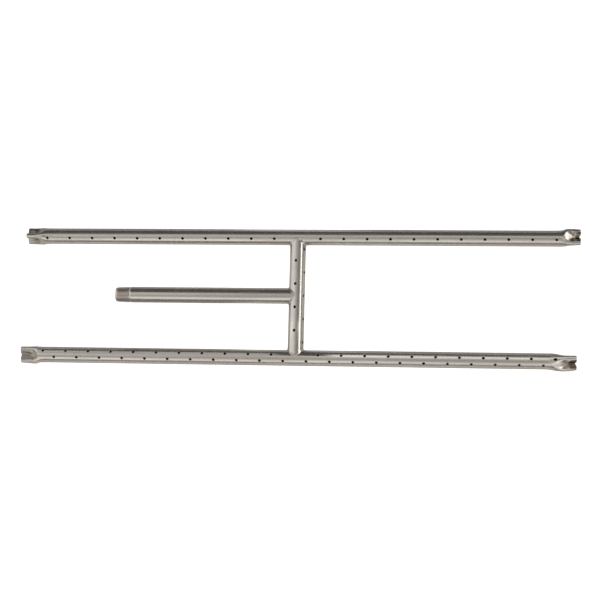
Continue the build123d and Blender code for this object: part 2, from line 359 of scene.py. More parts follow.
def crimp_rings(end_x, bar_y, crimp):
    """Rings from the middle of the end face out over its edge and along the crimp to the pipe."""
    side = 1 if end_x > 0 else -1
    rings = []
    rim = crimp_outline(crimp, 0, 0)
    for scale in FACE_SCALES:
        outline = rim * scale
        rings.append(bar_ring(notch_x(end_x, np.hypot(*outline.T), crimp), bar_y, outline))
    edge = notch_x(end_x, np.hypot(*rim.T), crimp)
    for turn in EDGE_TURNS:
        scale = 1 - END_ROUND * (1 - sin(turn)) / OUTER
        rings.append(bar_ring(edge - side * END_ROUND * (1 - cos(turn)), bar_y, rim * scale))
    for share in STRAIGHT_SHARES:
        outline = crimp_outline(crimp, STRAIGHT * share, 0)
        rings.append(bar_ring(mix(edge, end_x - side * STRAIGHT, share), bar_y, outline))
    for from_end in np.linspace(STRAIGHT, CRIMP_LENGTH, CRIMP_RINGS):
        rings.append(bar_ring(end_x - side * from_end, bar_y, crimp_outline(crimp, from_end, 0)))
    return rings


def bore_rings(end_x, bar_y, crimp):
    """Rings of a bar's bore along a crimp, from where its walls meet to the pipe."""
    side = 1 if end_x > 0 else -1
    closed = crimp.closed
    outline = crimp_outline(crimp, closed, WALL)
    rings = [bar_ring(end_x - side * closed, bar_y, outline * BORE_TIP_SCALE)]
    for from_end in np.linspace(closed + BORE_TIP_LENGTH, CRIMP_LENGTH, BORE_RINGS):
        rings.append(bar_ring(end_x - side * from_end, bar_y, crimp_outline(crimp, from_end, WALL)))
    return rings


def joined_rings(left, right, bar_y):
    """Rings from the left crimp's to the right crimp's, with the plain pipe between them."""
    start, stop = left[-1], right[-1]
    radius = hypot(start[0, 1] - bar_y, start[0, 2] - AXIS_Z)
    turns = []
    for ring in (start, stop):
        turns.append(np.unwrap(np.arctan2(ring[:, 1] - bar_y, ring[:, 2] - AXIS_Z)))
    turns[1] += 2 * pi * round((turns[0][0] - turns[1][0]) / (2 * pi))
    middle = []
    stations = int((stop[0, 0] - start[0, 0]) / PIPE_RING_SPACING)
    for step in range(1, stations):
        share = step / stations
        turn = mix(turns[0], turns[1], share)
        outline = np.column_stack((radius * np.sin(turn), radius * np.cos(turn)))
        middle.append(bar_ring(mix(start[0, 0], stop[0, 0], share), bar_y, outline))
    return left + middle + right[::-1]


class Shell:
    """Vertices and faces of a mesh, gathered from rings of places."""

    def __init__(self):
        self.places = []
        self.faces = []

    def ring(self, places):
        """Adds a ring and returns the index of its first vertex."""
        first = len(self.places)
        self.places.extend(np.asarray(places).tolist())
        return first

    def skin(self, rings, wrap=False):
        """Skins rings of one length. The first and last are capped, or joined when it wraps."""
        count = len(rings[0])
        firsts = [self.ring(places) for places in rings]
        pairs = list(zip(firsts, firsts[1:]))
        if wrap:
            pairs.append((firsts[-1], firsts[0]))
        for here, there in pairs:
            for column in range(count):
                after = (column + 1) % count
                self.faces.append((here + column, there + column, there + after, here + after))
        if not wrap:
            for places, first, order in ((rings[0], firsts[0], 1), (rings[-1], firsts[-1], -1)):
                middle = self.ring([np.mean(places, axis=0)])
                for column in range(count):
                    corner = (first + column, first + (column + 1) % count)
                    self.faces.append((middle, *corner[::order]))

    def mesh(self, name):
        """The mesh, in metres, its faces as they were added."""
        made = bpy.data.meshes.new(name)
        made.from_pydata((np.array(self.places) * MM).tolist(), [], self.faces)
        made.validate()
        return made


def signed_volume(mesh):
    """Six times a mesh's volume, positive when its faces look outwards."""
    mesh.calc_loop_triangles()
    total = 0.0
    for triangle in mesh.loop_triangles:
        a, b, c = (mesh.vertices[vertex].co for vertex in triangle.vertices)
        total += a.dot(b.cross(c))
    return total


def make_object(name, shells):
    """One object from shells, each given with True for an outside or False for a hollow."""
    parts = []
    for place, (shell, outside) in enumerate(shells):
        mesh = shell.mesh(f"{name}_shell_{place}")
        if (signed_volume(mesh) > 0) != outside:
            mesh.flip_normals()
        parts.append(mesh)
    places = []
    faces = []
    for mesh in parts:
        base = len(places)
        places.extend(tuple(vertex.co) for vertex in mesh.vertices)
        faces.extend([base + vertex for vertex in face.vertices] for face in mesh.polygons)
        bpy.data.meshes.remove(mesh)
    whole = bpy.data.meshes.new(name)
    whole.from_pydata(places, [], faces)
    made = bpy.data.objects.new(name, whole)
    bpy.context.scene.collection.objects.link(made)
    return made


def drill(shell, origin, facing, profile, sides):
    """Adds a drill to a shell: a profile of (distance, radius) turned about the facing direction."""
    facing = Vector(facing)
    first = facing.orthogonal().normalized()
    second = facing.cross(first)
    rings = []
    for distance, radius in profile:
        ring = []
        for side in range(sides):
            turn = 2 * pi * side / sides
            around = cos(turn) * first + sin(turn) * second
            ring.append(Vector(origin) + distance * facing + radius * around)
        rings.append(ring)
    shell.skin(rings)


def port(shell, origin, facing):
    """A port's drill, with the light chamfer that deburring leaves."""
    lip = OUTER - PORT_CHAMFER
    flare = PORT_RADIUS + PORT_OVERRUN + PORT_CHAMFER
    profile = ((PORT_START, PORT_RADIUS), (lip, PORT_RADIUS), (OUTER + PORT_OVERRUN, flare))
    drill(shell, origin, facing, profile, PORT_SIDES)


def bar_row(shell, bar_y, angle, wind, places):
    """Drills for a row of ports along a bar, at the given places in inches."""
    for place in places:
        turn = radians(angle + wind * place)
        port(shell, (place * INCH, bar_y, AXIS_Z), (0, -sin(turn), cos(turn)))


def cross_row(shell, angle, places):
    """Drills for a row of ports along the cross tube, at the given places in inches."""
    turn = radians(angle)
    for place in places:
        port(shell, (0, BRANCH_Y + place * INCH, AXIS_Z), (sin(turn), 0, cos(turn)))


def passage(shell, origin, branch):
    """The hole in a wall that lets gas into a branch."""
    profile = ((PASSAGE_START, PASSAGE_RADIUS), (PASSAGE_STOP, PASSAGE_RADIUS))
    drill(shell, (*origin, AXIS_Z), branch, profile, PASSAGE_SIDES)


def carve(piece, shell):
    """Cuts a shell's drills out of a piece."""
    cutter = make_object(f"{piece.name}_drills", [(shell, True)])
    modifier = piece.modifiers.new("carve", "BOOLEAN")
    modifier.operation = "DIFFERENCE"
    modifier.solver = "EXACT"
    modifier.object = cutter
    bpy.context.view_layer.update()
    carved = piece.evaluated_get(bpy.context.evaluated_depsgraph_get())
    mesh = bpy.data.meshes.new_from_object(carved)
    piece.modifiers.clear()
    piece.data = mesh
    mesh.name = piece.name
    bpy.data.objects.remove(cutter)


def shade(piece, sharp_angle=SHARP_ANGLE):
    """Smooth shading that keeps edges sharper than an angle."""
    piece.data.shade_smooth()
    piece.data.set_sharp_from_angle(angle=radians(sharp_angle))


def vertex_places(mesh):
    """A mesh's vertices, in millimetres."""
    flat = np.empty(len(mesh.vertices) * 3)
    mesh.vertices.foreach_get("co", flat)
    return flat.reshape(-1, 3) / MM


def paint(mesh, name, values):
    """Stores a value for each vertex, which a material reads by its name."""
    mesh.attributes.new(name, "FLOAT", "POINT").data.foreach_set("value", np.asarray(values, float))


def round_normals(mesh, chosen, radial):
    """Exact normals on plain tube: chosen says where that is, and radial gives the normal there."""
    normals = np.zeros((len(mesh.loops), 3))
    places = vertex_places(mesh)
    for face in mesh.polygons:
        middle = np.array(face.center) / MM
        if not chosen(middle):
            continue
        if np.dot(radial(middle), face.normal) < cos(radians(PLAIN_ANGLE)):
            continue
        for loop in face.loop_indices:
            normals[loop] = radial(places[mesh.loops[loop].vertex_index])
    mesh.normals_split_custom_set(normals.tolist())


def saddle_seam(origin, run, branch, turn, ease):
    """A place on the seam of a saddle joint, its direction and the two tubes' normals there."""
    out = sqrt(sin(turn) ** 2 + ease**2)
    up = np.array((0, 0, 1.0))
    place = origin + OUTER * (run * sin(turn) + branch * out + up * cos(turn))
    along = run * cos(turn) + branch * sin(turn) * cos(turn) / out - up * sin(turn)
    tube_normal = branch * out + up * cos(turn)
    branch_normal = run * sin(turn) + up * cos(turn)
    return place, along / np.linalg.norm(along), tube_normal / np.linalg.norm(tube_normal), branch_normal


def onto_tube(place, origin, axis, radius):
    """The nearest place on a tube's surface."""
    arm = place - origin
    along = axis * np.dot(arm, axis)
    across = arm - along
    return origin + along + across * radius / np.linalg.norm(across)


def joint_ways(centre, branch):
    """A saddle joint's middle, the way its tube runs and the way its branch leaves."""
    branch = np.array((*branch, 0.0))
    return np.array((*centre, AXIS_Z)), np.array((-branch[1], branch[0], 0.0)), branch


def toe_way(along, normal, wanted):
    """The way over a tube's surface, square to the seam, that is on the wanted side."""
    way = np.cross(along, normal)
    return -way if np.dot(way, wanted) < 0 else way


def saddle_weld(name, centre, branch, seed):
    """A rippled bead round the saddle joint where a branch leaves a tube, ground flush below."""
    origin, run, branch = joint_ways(centre, branch)
    rings = []
    ripple = []
    travelled = 0.0
    last = None
    for station in range(WELD_STATIONS):
        turn = 2 * pi * station / WELD_STATIONS
        place, along, tube_normal, branch_normal = saddle_seam(origin, run, branch, turn, WELD_EASE)
        if last is not None:
            travelled += np.linalg.norm(place - last)
        last = place
        crest = (1 + cos(turn)) / 2
        ground = float(smooth_step(*GROUND_FADE, cos(turn)))
        wander = noise.noise(Vector((travelled / WANDER_LENGTH, seed, 0)))
        lumps = noise.noise(Vector((travelled / LUMP_LENGTH, seed, LUMP_ROW)))
        outward = 1 if sin(turn) >= 0 else -1
        tube_way = toe_way(along, tube_normal, outward * run - branch)
        branch_way = toe_way(along, branch_normal, branch - outward * run)
        leg = mix(LEG_BELOW, LEG_ABOVE, crest**LEG_CURVE) * (1 + LEG_WANDER * wander)
        leg = leg * mix(1, LEG_GROUND, ground)
        tube_toe = onto_tube(place + leg * tube_way, origin, run, OUTER - WELD_SINK)
        branch_toe = onto_tube(place + leg * branch_way, origin, branch, OUTER - WELD_SINK)
        out = tube_normal + branch_normal
        out = out / np.linalg.norm(out)
        bulge = mix(BULGE_BELOW, BULGE_ABOVE, crest**BULGE_CURVE)
        bulge = bulge * (1 + BULGE_WANDER * wander + BULGE_LUMPS * lumps) * (1 - ground)
        handle = place + out * bulge
        rise = mix(RIPPLE_BELOW, RIPPLE_ABOVE, crest**RIPPLE_CURVE)
        ring = []
        for step in range(WELD_STEPS + 1):
            b = step / WELD_STEPS
            a = 1 - b
            surface = a * a * tube_toe + 2 * a * b * handle + b * b * branch_toe
            chevron = travelled / RIPPLE_PITCH + RIPPLE_BOW * (b - 0.5) ** 2
            wave = (0.5 + 0.5 * cos(2 * pi * chevron)) ** RIPPLE_SHARPNESS
            height = rise * wave * sin(pi * b) * (1 - ground)
            surface = surface + out * height
            surface[2] = max(surface[2], 0.0)
            ring.append(surface)
            ripple.append(wave * sin(pi * b))
        for b in ROOT_SHARES:
            ring.append(mix(tube_toe, branch_toe, b) - out * (ROOT_DEPTH + ROOT_SWELL * sin(pi * b)))
            ripple.append(0)
        rings.append(ring)
    shell = Shell()
    shell.skin(rings, wrap=True)
    piece = make_object(name, [(shell, True)])
    paint(piece.data, "ripple", ripple)
    shade(piece, WELD_SHARP_ANGLE)
    return piece


def seam_samples():
    """Places along the three saddle seams, to measure heat from."""
    seams = []
    for _, centre, branch, _ in JOINTS:
        origin, run, branch = joint_ways(centre, branch)
        for station in range(SEAM_STATIONS):
            turn = 2 * pi * station / SEAM_STATIONS
            seams.append(saddle_seam(origin, run, branch, turn, SEAM_EASE)[0])
    return np.array(seams)


SEAMS = seam_samples()


def heat_from_seams(places):
    """How hot each place was in welding, from 1 at a seam to 0."""
    nearest = np.full(len(places), np.inf)
    for seam in SEAMS:
        nearest = np.minimum(nearest, np.linalg.norm(places - seam, axis=1))
    return fade(*HEAT_FADE, nearest)


def bar(name, bar_y, ends, crimps, rows):
    """A bar: pipe with folded ends, a bore, rows of ports and the passage to the cross tube."""
    outside = Shell()
    folds = [crimp_rings(end, bar_y, crimp) for end, crimp in zip(ends, crimps)]
    outside.skin(joined_rings(*folds, bar_y))
    bore = Shell()
    bores = [bore_rings(end, bar_y, crimp) for end, crimp in zip(ends, crimps)]
    bore.skin(joined_rings(*bores, bar_y))
    piece = make_object(name, [(outside, True), (bore, False)])
    drills = Shell()
    for angle, wind, places in rows:
        bar_row(drills, bar_y, angle, wind, places)
    passage(drills, (0, bar_y), (0, 1 if bar_y < 0 else -1, 0))
    carve(piece, drills)
    shade(piece)
    mesh = piece.data
    places = vertex_places(mesh)
    across = np.hypot(places[:, 1] - bar_y, places[:, 2] - AXIS_Z)
    from_end = np.minimum(places[:, 0] - ends[0], ends[1] - places[:, 0])
    worked = fade(*WORKED_ALONG, from_end)
    side = (places[:, 0] > 0).astype(int)
    fields = ("scorch", "reach", "temper", "temper_at")
    scorch, reach, temper, temper_at = (
        np.array([getattr(crimp, field) for crimp in crimps])[side] for field in fields
    )
    # Scorched: near-black painted shade in the crimp valleys near the ends, with some heat scorch
    rounded = from_end - reach + SCORCH_SHADE_BOW * (across - SCORCH_SHADE_MIDDLE)
    scorched_and_shaded = scorch * fade(*SCORCH_SHADE_FADE, rounded) * fade(*SCORCH_SHADE_ACROSS, across)
    tempered = temper * fade(*TEMPER_FADE, np.abs(from_end - temper_at)) * fade(*TEMPER_ACROSS, across)
    paint(mesh, "heat", np.maximum(heat_from_seams(places), WORKED_HEAT * worked))
    paint(mesh, "pressed", fade(*PRESSED_ACROSS, across) * fade(*PRESSED_ALONG, from_end))
    paint(mesh, "scorched_and_shaded", scorched_and_shaded)
    paint(mesh, "tempered", tempered)

    def radial(place):
        arm = np.array((0, place[1] - bar_y, place[2] - AXIS_Z))
        return arm / np.linalg.norm(arm)

    def plain(place):
        return ends[0] + CRIMP_LENGTH < place[0] < ends[1] - CRIMP_LENGTH

    round_normals(mesh, plain, radial)
    return piece


def saddle_ends(radius, turn):
    """How far from a tube's axis a coped branch wall starts, at an angle round the branch."""
    return sqrt(max(OUTER**2 - (radius * cos(turn)) ** 2, 0.0))


def cross_tube():
    """The tube between the bars, coped onto both, with its ports."""
    rings = []
    for radius, order in ((OUTER, 1), (INNER, -1)):
        for station in range(CROSS_STATIONS + 1)[::order]:
            ring = []
            for turn in TURNS:
                cope = saddle_ends(radius, turn)
                y = mix(FRONT_Y + cope, REAR_Y - cope, station / CROSS_STATIONS)
                ring.append((radius * sin(turn), y, AXIS_Z + radius * cos(turn)))
            rings.append(ring)
    shell = Shell()
    shell.skin(rings, wrap=True)
    piece = make_object("cross_tube_steel", [(shell, True)])
    drills = Shell()
    for angle, places in CROSS_ROWS:
        cross_row(drills, angle, places)
    passage(drills, (0, BRANCH_Y), (-1, 0, 0))
    carve(piece, drills)
    shade(piece)
    places = vertex_places(piece.data)
    paint(piece.data, "heat", heat_from_seams(places))

    def radial(place):
        arm = np.array((place[0], 0, place[2] - AXIS_Z))
        return arm / np.linalg.norm(arm)

    round_normals(piece.data, lambda place: True, radial)
    return piece


def thread_radius(from_end, turn):
    """The inlet's outside: a rounded nose, a tapered helical thread, an undercut, then pipe."""
    if from_end >= THREAD_LENGTH:
        return OUTER
    chamfer = THREAD_LENGTH - CHAMFER_RISE
    if from_end >= chamfer:
        return OUTER - UNDERCUT * (THREAD_LENGTH - from_end) / CHAMFER_RISE
    body = OUTER - CREST_DROP - THREAD_TAPER * (chamfer - from_end)
    phase = (from_end / THREAD_PITCH + turn / (2 * pi)) % 1
    groove = 1 - abs(2 * phase - 1)
    groove = min(1.0, max(0.0, (groove - CREST_FLAT) / (1 - BOTH_FLATS * CREST_FLAT)))
    start = float(smooth_step(*GROOVE_START, from_end))
    run_out = float(smooth_step(chamfer - THREAD_PITCH, chamfer, from_end))
    nose = NOSE_STEP * (1 - min(1.0, from_end / NOSE_LENGTH)) ** 2
    return mix(body - nose - THREAD_DEPTH * groove * start, OUTER - UNDERCUT, run_out)


def inlet_pipe():
    """The threaded inlet pipe, coped onto the cross tube, with a reamed mouth."""
    rings = []
    for from_end in np.arange(0, THREAD_LENGTH + THREAD_OVERRUN, THREAD_STEP):
        ring = []
        for turn in TURNS:
            radius = thread_radius(from_end, turn)
            ring.append((INLET_END + from_end, radius * sin(turn), radius * cos(turn)))
        rings.append(ring)
    plain = np.linspace(THREAD_LENGTH + INLET_PIPE_START, -INLET_END, INLET_PIPE_RINGS)
    for from_end in plain:
        share = (from_end - plain[0]) / (plain[-1] - plain[0])
        ring = []
        for turn in TURNS:
            x = mix(INLET_END + plain[0], -saddle_ends(OUTER, turn), share)
            ring.append((x, OUTER * sin(turn), OUTER * cos(turn)))
        rings.append(ring)
    for share in (1, 0.5, 0):
        ring = []
        for turn in TURNS:
            x = mix(INLET_END + REAM_LENGTH, -saddle_ends(INNER, turn), share)
            ring.append((x, INNER * sin(turn), INNER * cos(turn)))
        rings.append(ring)
    mouth = INNER + REAM_RISE
    rings.append([(INLET_END, mouth * sin(turn), mouth * cos(turn)) for turn in TURNS])
    rings = [[(x, BRANCH_Y + y, AXIS_Z + z) for x, y, z in ring] for ring in rings]
    shell = Shell()
    shell.skin(rings, wrap=True)
    piece = make_object("inlet_pipe_steel", [(shell, True)])
    shade(piece)
    places = vertex_places(piece.data)
    paint(piece.data, "heat", heat_from_seams(places))
    paint(piece.data, "cut", fade(*CUT_FADE, places[:, 0] - INLET_END))
    return piece


def end_weld(name, end_x, bar_y, crimp):
    """Three short rippled beads that close the folds in an end face, meeting in the middle."""
    shell = Shell()
    ripple = []
    middle = np.array((float(notch_x(end_x, 0.0, crimp)), bar_y, AXIS_Z))
    side = 1 if end_x > 0 else -1
    for angle, _, _ in crimp.arms:
        turn = radians(angle)
        way = np.array((0, -sin(turn), cos(turn)))
        across_way = np.array((0, cos(turn), sin(turn)))
        rings = []
        for step in range(SEAL_STEPS + 1):
            out = SEAL_REACH * step / SEAL_STEPS
            centre = middle + way * out
            centre[0] = float(notch_x(end_x, out, crimp))
            taper = max(SEAL_TIP, sqrt(max(0.0, 1 - (step / SEAL_STEPS) ** SEAL_TAPER)))
            wander = noise.noise(Vector((out / SEAL_WANDER_LENGTH, angle, end_x)))
            half_width = (SEAL_HALF_WIDTH + SEAL_WANDER * wander) * taper
            wave = 0.5 + 0.5 * cos(2 * pi * out / SEAL_PITCH)
            height = (SEAL_HEIGHT + SEAL_RIPPLE * wave) * taper
            ring = []
            for corner in range(SEAL_CORNERS):
                swing = 2 * pi * corner / SEAL_CORNERS
                lift = sin(swing) * (height if sin(swing) > 0 else SEAL_DEPTH)
                sideways = across_way * half_width * cos(swing)
                ring.append(centre + sideways + np.array((side * lift, 0, 0)))
                ripple.append(wave * max(0.0, sin(swing)))
            rings.append(ring)
        shell.skin(rings)
        ripple.extend((0, 0))
    piece = make_object(name, [(shell, True)])
    paint(piece.data, "ripple", ripple)
    shade(piece, WELD_SHARP_ANGLE)
    return piece


# Materials


def feed(tree, socket, value):
    """Links another socket to this one, or sets a plain value."""
    if isinstance(value, bpy.types.NodeSocket):
        tree.links.new(value, socket)
    else:
        socket.default_value = value


def calculate(tree, operation, *values):
    """A maths node on sockets or numbers."""
    node = tree.nodes.new("ShaderNodeMath")
    node.operation = operation
    for socket, value in zip(node.inputs, values):
        feed(tree, socket, value)
    return node.outputs[0]


def spread(tree, value, low, high, to_low=0.0, to_high=1.0, kind="SMOOTHSTEP"):
    """Maps a value from one range to another, clamped."""
    node = tree.nodes.new("ShaderNodeMapRange")
    node.interpolation_type = kind
    limits = {"From Min": low, "From Max": high, "To Min": to_low, "To Max": to_high}
    for name, number in limits.items():
        feed(tree, node.inputs[name], number)
    feed(tree, node.inputs["Value"], value)
    return node.outputs[0]


def blend_colours(tree, share, first, second):
    """Mixes two colours by a share."""
    node = tree.nodes.new("ShaderNodeMix")
    node.data_type = "RGBA"
    feed(tree, node.inputs["Factor"], share)
    for socket, value in ((node.inputs[6], first), (node.inputs[7], second)):
        feed(tree, socket, value if isinstance(value, bpy.types.NodeSocket) else (*value, 1))
    return node.outputs[2]


def grain(tree, scale, detail=4.0, roughness=0.55, stretch=(1, 1, 1), seed=0.0):
    """Noise in the object's own coordinates, in metres, stretched along its axes."""
    coordinates = tree.nodes.new("ShaderNodeTexCoord")
    mapping = tree.nodes.new("ShaderNodeMapping")
    mapping.inputs["Scale"].default_value = stretch
    mapping.inputs["Location"].default_value = (seed, seed, seed)
    tree.links.new(coordinates.outputs["Object"], mapping.inputs["Vector"])
    node = tree.nodes.new("ShaderNodeTexNoise")
    node.inputs["Scale"].default_value = scale
    node.inputs["Detail"].default_value = detail
    node.inputs["Roughness"].default_value = roughness
    tree.links.new(mapping.outputs["Vector"], node.inputs["Vector"])
    return node.outputs["Fac"]


def stored(tree, name):
    """A value painted on the mesh."""
    node = tree.nodes.new("ShaderNodeAttribute")
    node.attribute_name = name
    return node.outputs["Fac"]


def bump(tree, height, strength, distance, normal=None):
    """A bump node, on top of another if one is given."""
    node = tree.nodes.new("ShaderNodeBump")
    node.inputs["Strength"].default_value = strength
    node.inputs["Distance"].default_value = distance
    feed(tree, node.inputs["Height"], height)
    if normal:
        tree.links.new(normal, node.inputs["Normal"])
    return node.outputs["Normal"]


def new_material(name):
    """A material with its tree and its Principled shader."""
    material = bpy.data.materials.new(name)
    material.use_nodes = True
    return material, material.node_tree, material.node_tree.nodes["Principled BSDF"]


# Colours, as shares of red, green and blue
STEEL = (0.61, 0.564, 0.514)
STEEL_STREAK = tuple(0.86 * channel for channel in STEEL)
STEEL_DULL = (0.45, 0.405, 0.36)
STRAW = (0.52, 0.40, 0.25)
BROWN = (0.27, 0.18, 0.12)
SOOT = (0.20, 0.175, 0.15)
# Near black: painted shade in the crimp valleys near the ends, with some heat scorch
SCORCH_AND_PAINTED_SHADE = (0.085, 0.07, 0.052)
TEMPER = (0.29, 0.2, 0.13)
THREAD_TONE = (0.62, 0.56, 0.52)
BEAD_STEEL = (0.50, 0.455, 0.41)
BEAD_OXIDE = (0.34, 0.29, 0.24)
EDGE_TINT = (0.55, 0.53, 0.5, 1)


def stretched(along, lengthwise, crosswise):
    """Noise scales for an axis of the tube and for the two across it."""
    return tuple(lengthwise if axis == along else crosswise for axis in range(3))


def tube_steel(name, along):
    """Polished stainless tube, its fine scratches and streaks running along one axis."""
    material, tree, shader = new_material(name)
    scratches = grain(tree, scale=1.0, detail=3, stretch=stretched(along, 3, 900))
    streaks = grain(tree, scale=1.0, detail=4, roughness=0.6, stretch=stretched(along, 6, 150), seed=3.0)
    clouds = grain(tree, scale=38.0, detail=5, roughness=0.6, seed=7.0)
    smudges = grain(tree, scale=95.0, detail=6, roughness=0.68, seed=11.0)
    pits = grain(tree, scale=1400.0, detail=2, seed=13.0)
    heat = stored(tree, "heat")
    pressed = stored(tree, "pressed")
    cut = stored(tree, "cut")

    def patchy(mask, low, high, least):
        """A painted value, broken up by the smudges down to a least share of it."""
        return calculate(tree, "MULTIPLY", mask, spread(tree, smudges, low, high, least, 1.0))

    tint = patchy(heat, 0.25, 0.62, 0.25)
    stain = patchy(pressed, 0.3, 0.6, 0.45)
    temper = patchy(stored(tree, "tempered"), 0.35, 0.6, 0.35)
    # Painted shade in the crimp valleys near the ends, with some heat scorch
    scorch = patchy(stored(tree, "scorched_and_shaded"), 0.3, 0.6, 0.75)

    # Layers, from the steel up: a mask, where it starts and is full, the most it covers, its colour
    colour = blend_colours(tree, spread(tree, streaks, 0.35, 0.7), STEEL, STEEL_STREAK)
    for mask, low, high, most, tone in (
        (clouds, 0.5, 0.78, 0.35, STEEL_DULL),
        (tint, 0.05, 0.75, 0.55, STRAW),
        (tint, 0.55, 1.0, 0.5, BROWN),
        (stain, 0.1, 0.9, 0.22, STRAW),
        (stain, 0.5, 1.0, 0.2, BROWN),
    ):
        colour = blend_colours(tree, spread(tree, mask, low, high, 0, most), colour, tone)
    for mask, most, tone in ((cut, 0.7, THREAD_TONE), (temper, 0.9, TEMPER), (scorch, 0.9, SCORCH_AND_PAINTED_SHADE)):
        colour = blend_colours(tree, calculate(tree, "MULTIPLY", mask, most), colour, tone)
    colour = blend_colours(tree, spread(tree, pits, 0.66, 0.74, 0, 0.5), colour, SOOT)
    tree.links.new(colour, shader.inputs["Base Color"])

    rough = spread(tree, streaks, 0.3, 0.7, 0.2, 0.3)
    rough = calculate(tree, "ADD", rough, spread(tree, smudges, 0.45, 0.75, 0, 0.1))
    for mask, added in ((heat, 0.07), (pressed, 0.06), (cut, 0.1)):
        rough = calculate(tree, "ADD", rough, calculate(tree, "MULTIPLY", mask, added))
    tree.links.new(rough, shader.inputs["Roughness"])

    relief = bump(tree, scratches, strength=0.12, distance=0.00004)
    relief = bump(tree, clouds, strength=0.3, distance=0.00025, normal=relief)
    relief = bump(tree, pits, strength=0.15, distance=0.00003, normal=relief)
    tree.links.new(relief, shader.inputs["Normal"])
    shader.inputs["Metallic"].default_value = 1.0
    shader.inputs["Specular Tint"].default_value = EDGE_TINT
    return material


def weld_metal(name):
    """Wire-brushed bead: silvery ripple crests, with brownish oxide between them."""
    material, tree, shader = new_material(name)
    clouds = grain(tree, scale=260.0, detail=5, roughness=0.65, seed=2.0)
    grit = grain(tree, scale=2600.0, detail=3, seed=5.0)
    ripple = stored(tree, "ripple")
    colour = blend_colours(tree, spread(tree, clouds, 0.35, 0.65), BEAD_STEEL, STEEL)
    colour = blend_colours(tree, spread(tree, ripple, 0.0, 0.6, 0.3, 0), colour, BEAD_OXIDE)
    colour = blend_colours(tree, spread(tree, grit, 0.6, 0.72, 0, 0.4), colour, SOOT)
    tree.links.new(colour, shader.inputs["Base Color"])
    rough = spread(tree, clouds, 0.3, 0.7, 0.22, 0.34)
    tree.links.new(rough, shader.inputs["Roughness"])
    relief = bump(tree, grit, strength=0.25, distance=0.00006)
    relief = bump(tree, clouds, strength=0.35, distance=0.0003, normal=relief)
    tree.links.new(relief, shader.inputs["Normal"])
    shader.inputs["Metallic"].default_value = 1.0
    return material


# Floor, in metres. It glows pale to the camera. The metal mirrors it darker, but for a band of
# painted light about the cross tube, by its half width, and strips of painted light along the bars,
# each by its middle and half width.
FLOOR_HALF = 12.0
FLOOR_CELLS = 6
FLOOR_DARK = (0.34,) * 3
FLOOR_PALE = (0.36,) * 3
FLOOR_PAINTED_LIGHT = (0.58,) * 3
FLOOR_GLOW = 0.8
PAINTED_LIGHT_PATCH = 0.045
PAINTED_LIGHT_STRIPS = ((-0.12, 0.045), (0.035, 0.022))
STRIP_EDGE = 0.02


def backdrop():
    """A wide floor, pale to the camera."""
    edges = [mix(-FLOOR_HALF, FLOOR_HALF, step / FLOOR_CELLS) for step in range(FLOOR_CELLS + 1)]
    places = [(x, y, 0) for y in edges for x in edges]
    faces = []
    for row in range(FLOOR_CELLS):
        for column in range(FLOOR_CELLS):
            near = row * len(edges) + column
            far = near + len(edges)
            faces.append((near, near + 1, far + 1, far))
    mesh = bpy.data.meshes.new("floor")
    mesh.from_pydata(places, [], faces)
    floor = bpy.data.objects.new("floor", mesh)
    bpy.context.scene.collection.objects.link(floor)
    material, tree, shader = new_material("floor_white")
    clouds = grain(tree, scale=3.0, detail=3)
    colour = blend_colours(tree, spread(tree, clouds, 0.3, 0.7), FLOOR_DARK, FLOOR_PALE)
    coordinates = tree.nodes.new("ShaderNodeTexCoord")
    split = tree.nodes.new("ShaderNodeSeparateXYZ")
    tree.links.new(coordinates.outputs["Object"], split.inputs[0])
    beside = calculate(tree, "ABSOLUTE", split.outputs["X"])
    # Painted light: the floor's colour is lighter about the cross tube and in strips along the bars, for
    # the metal to mirror
    brightened = spread(tree, beside, PAINTED_LIGHT_PATCH, 2 * PAINTED_LIGHT_PATCH, 1, 0)
    for middle, half in PAINTED_LIGHT_STRIPS:
        off = calculate(tree, "ABSOLUTE", calculate(tree, "SUBTRACT", split.outputs["Y"], middle))
        brightened = calculate(tree, "MAXIMUM", brightened, spread(tree, off, half, half + STRIP_EDGE, 1, 0))
    colour = blend_colours(tree, brightened, colour, FLOOR_PAINTED_LIGHT)
    tree.links.new(colour, shader.inputs["Base Color"])
    shader.inputs["Emission Color"].default_value = (1, 1, 1, 1)
    path = tree.nodes.new("ShaderNodeLightPath")
    glow = calculate(tree, "MULTIPLY", path.outputs["Is Camera Ray"], FLOOR_GLOW)
    tree.links.new(glow, shader.inputs["Emission Strength"])
    shader.inputs["Roughness"].default_value = 0.9
    shader.inputs["Specular IOR Level"].default_value = 0.1
    mesh.materials.append(material)


# Studio: what the metal mirrors, by direction. Degrees from straight up, and brightness.

FRONT_TO_REAR = (
    (-180, 0.9), (-120, 0.4), (-100, 0.08), (-32, 0.1), (-24, 0.7), (-17, 0.9),
    (-8, 0.5), (2, 0.35), (14, 0.38), (30, 0.6), (44, 0.85), (58, 1.3),
    (68, 0.8), (78, 0.25), (92, 0.15), (120, 0.5), (180, 0.9),
)
LEFT_TO_RIGHT = (
    (-180, 0.9), (-95, 0.9), (-60, 1.0), (-25, 1.0), (-10, 0.6), (2, 0.36), (25, 0.24), (53, 0.28),
    (59, 2.0), (64, 5.0), (68, 2.0), (73, 0.2), (85, 0.12), (98, 0.1), (130, 0.6), (180, 0.9),
)
BRIGHTEST = 6.0

# Soft boxes in the corners: each one's direction, the angles from it in degrees between which its
# edge fades, and its brightness
CORNER_BOXES = (((1.2, 1.15, 1), 9, 18, 2.4), ((0.8, -1.1, 1), 4, 10, 3.0))

# Where the front-to-rear bands give way to the left-to-right ones, and where the corners between
# them are shaded, as a squared sine. UPRIGHT_EASE keeps the share defined straight up.
UPRIGHT_EASE = 0.004
SIDEWAYS_FADE = (0.15, 0.85)
CORNER_FADE = (0.05, 0.3)
CORNER_SHADE = 0.7
STUDIO_STRENGTH = 1.07

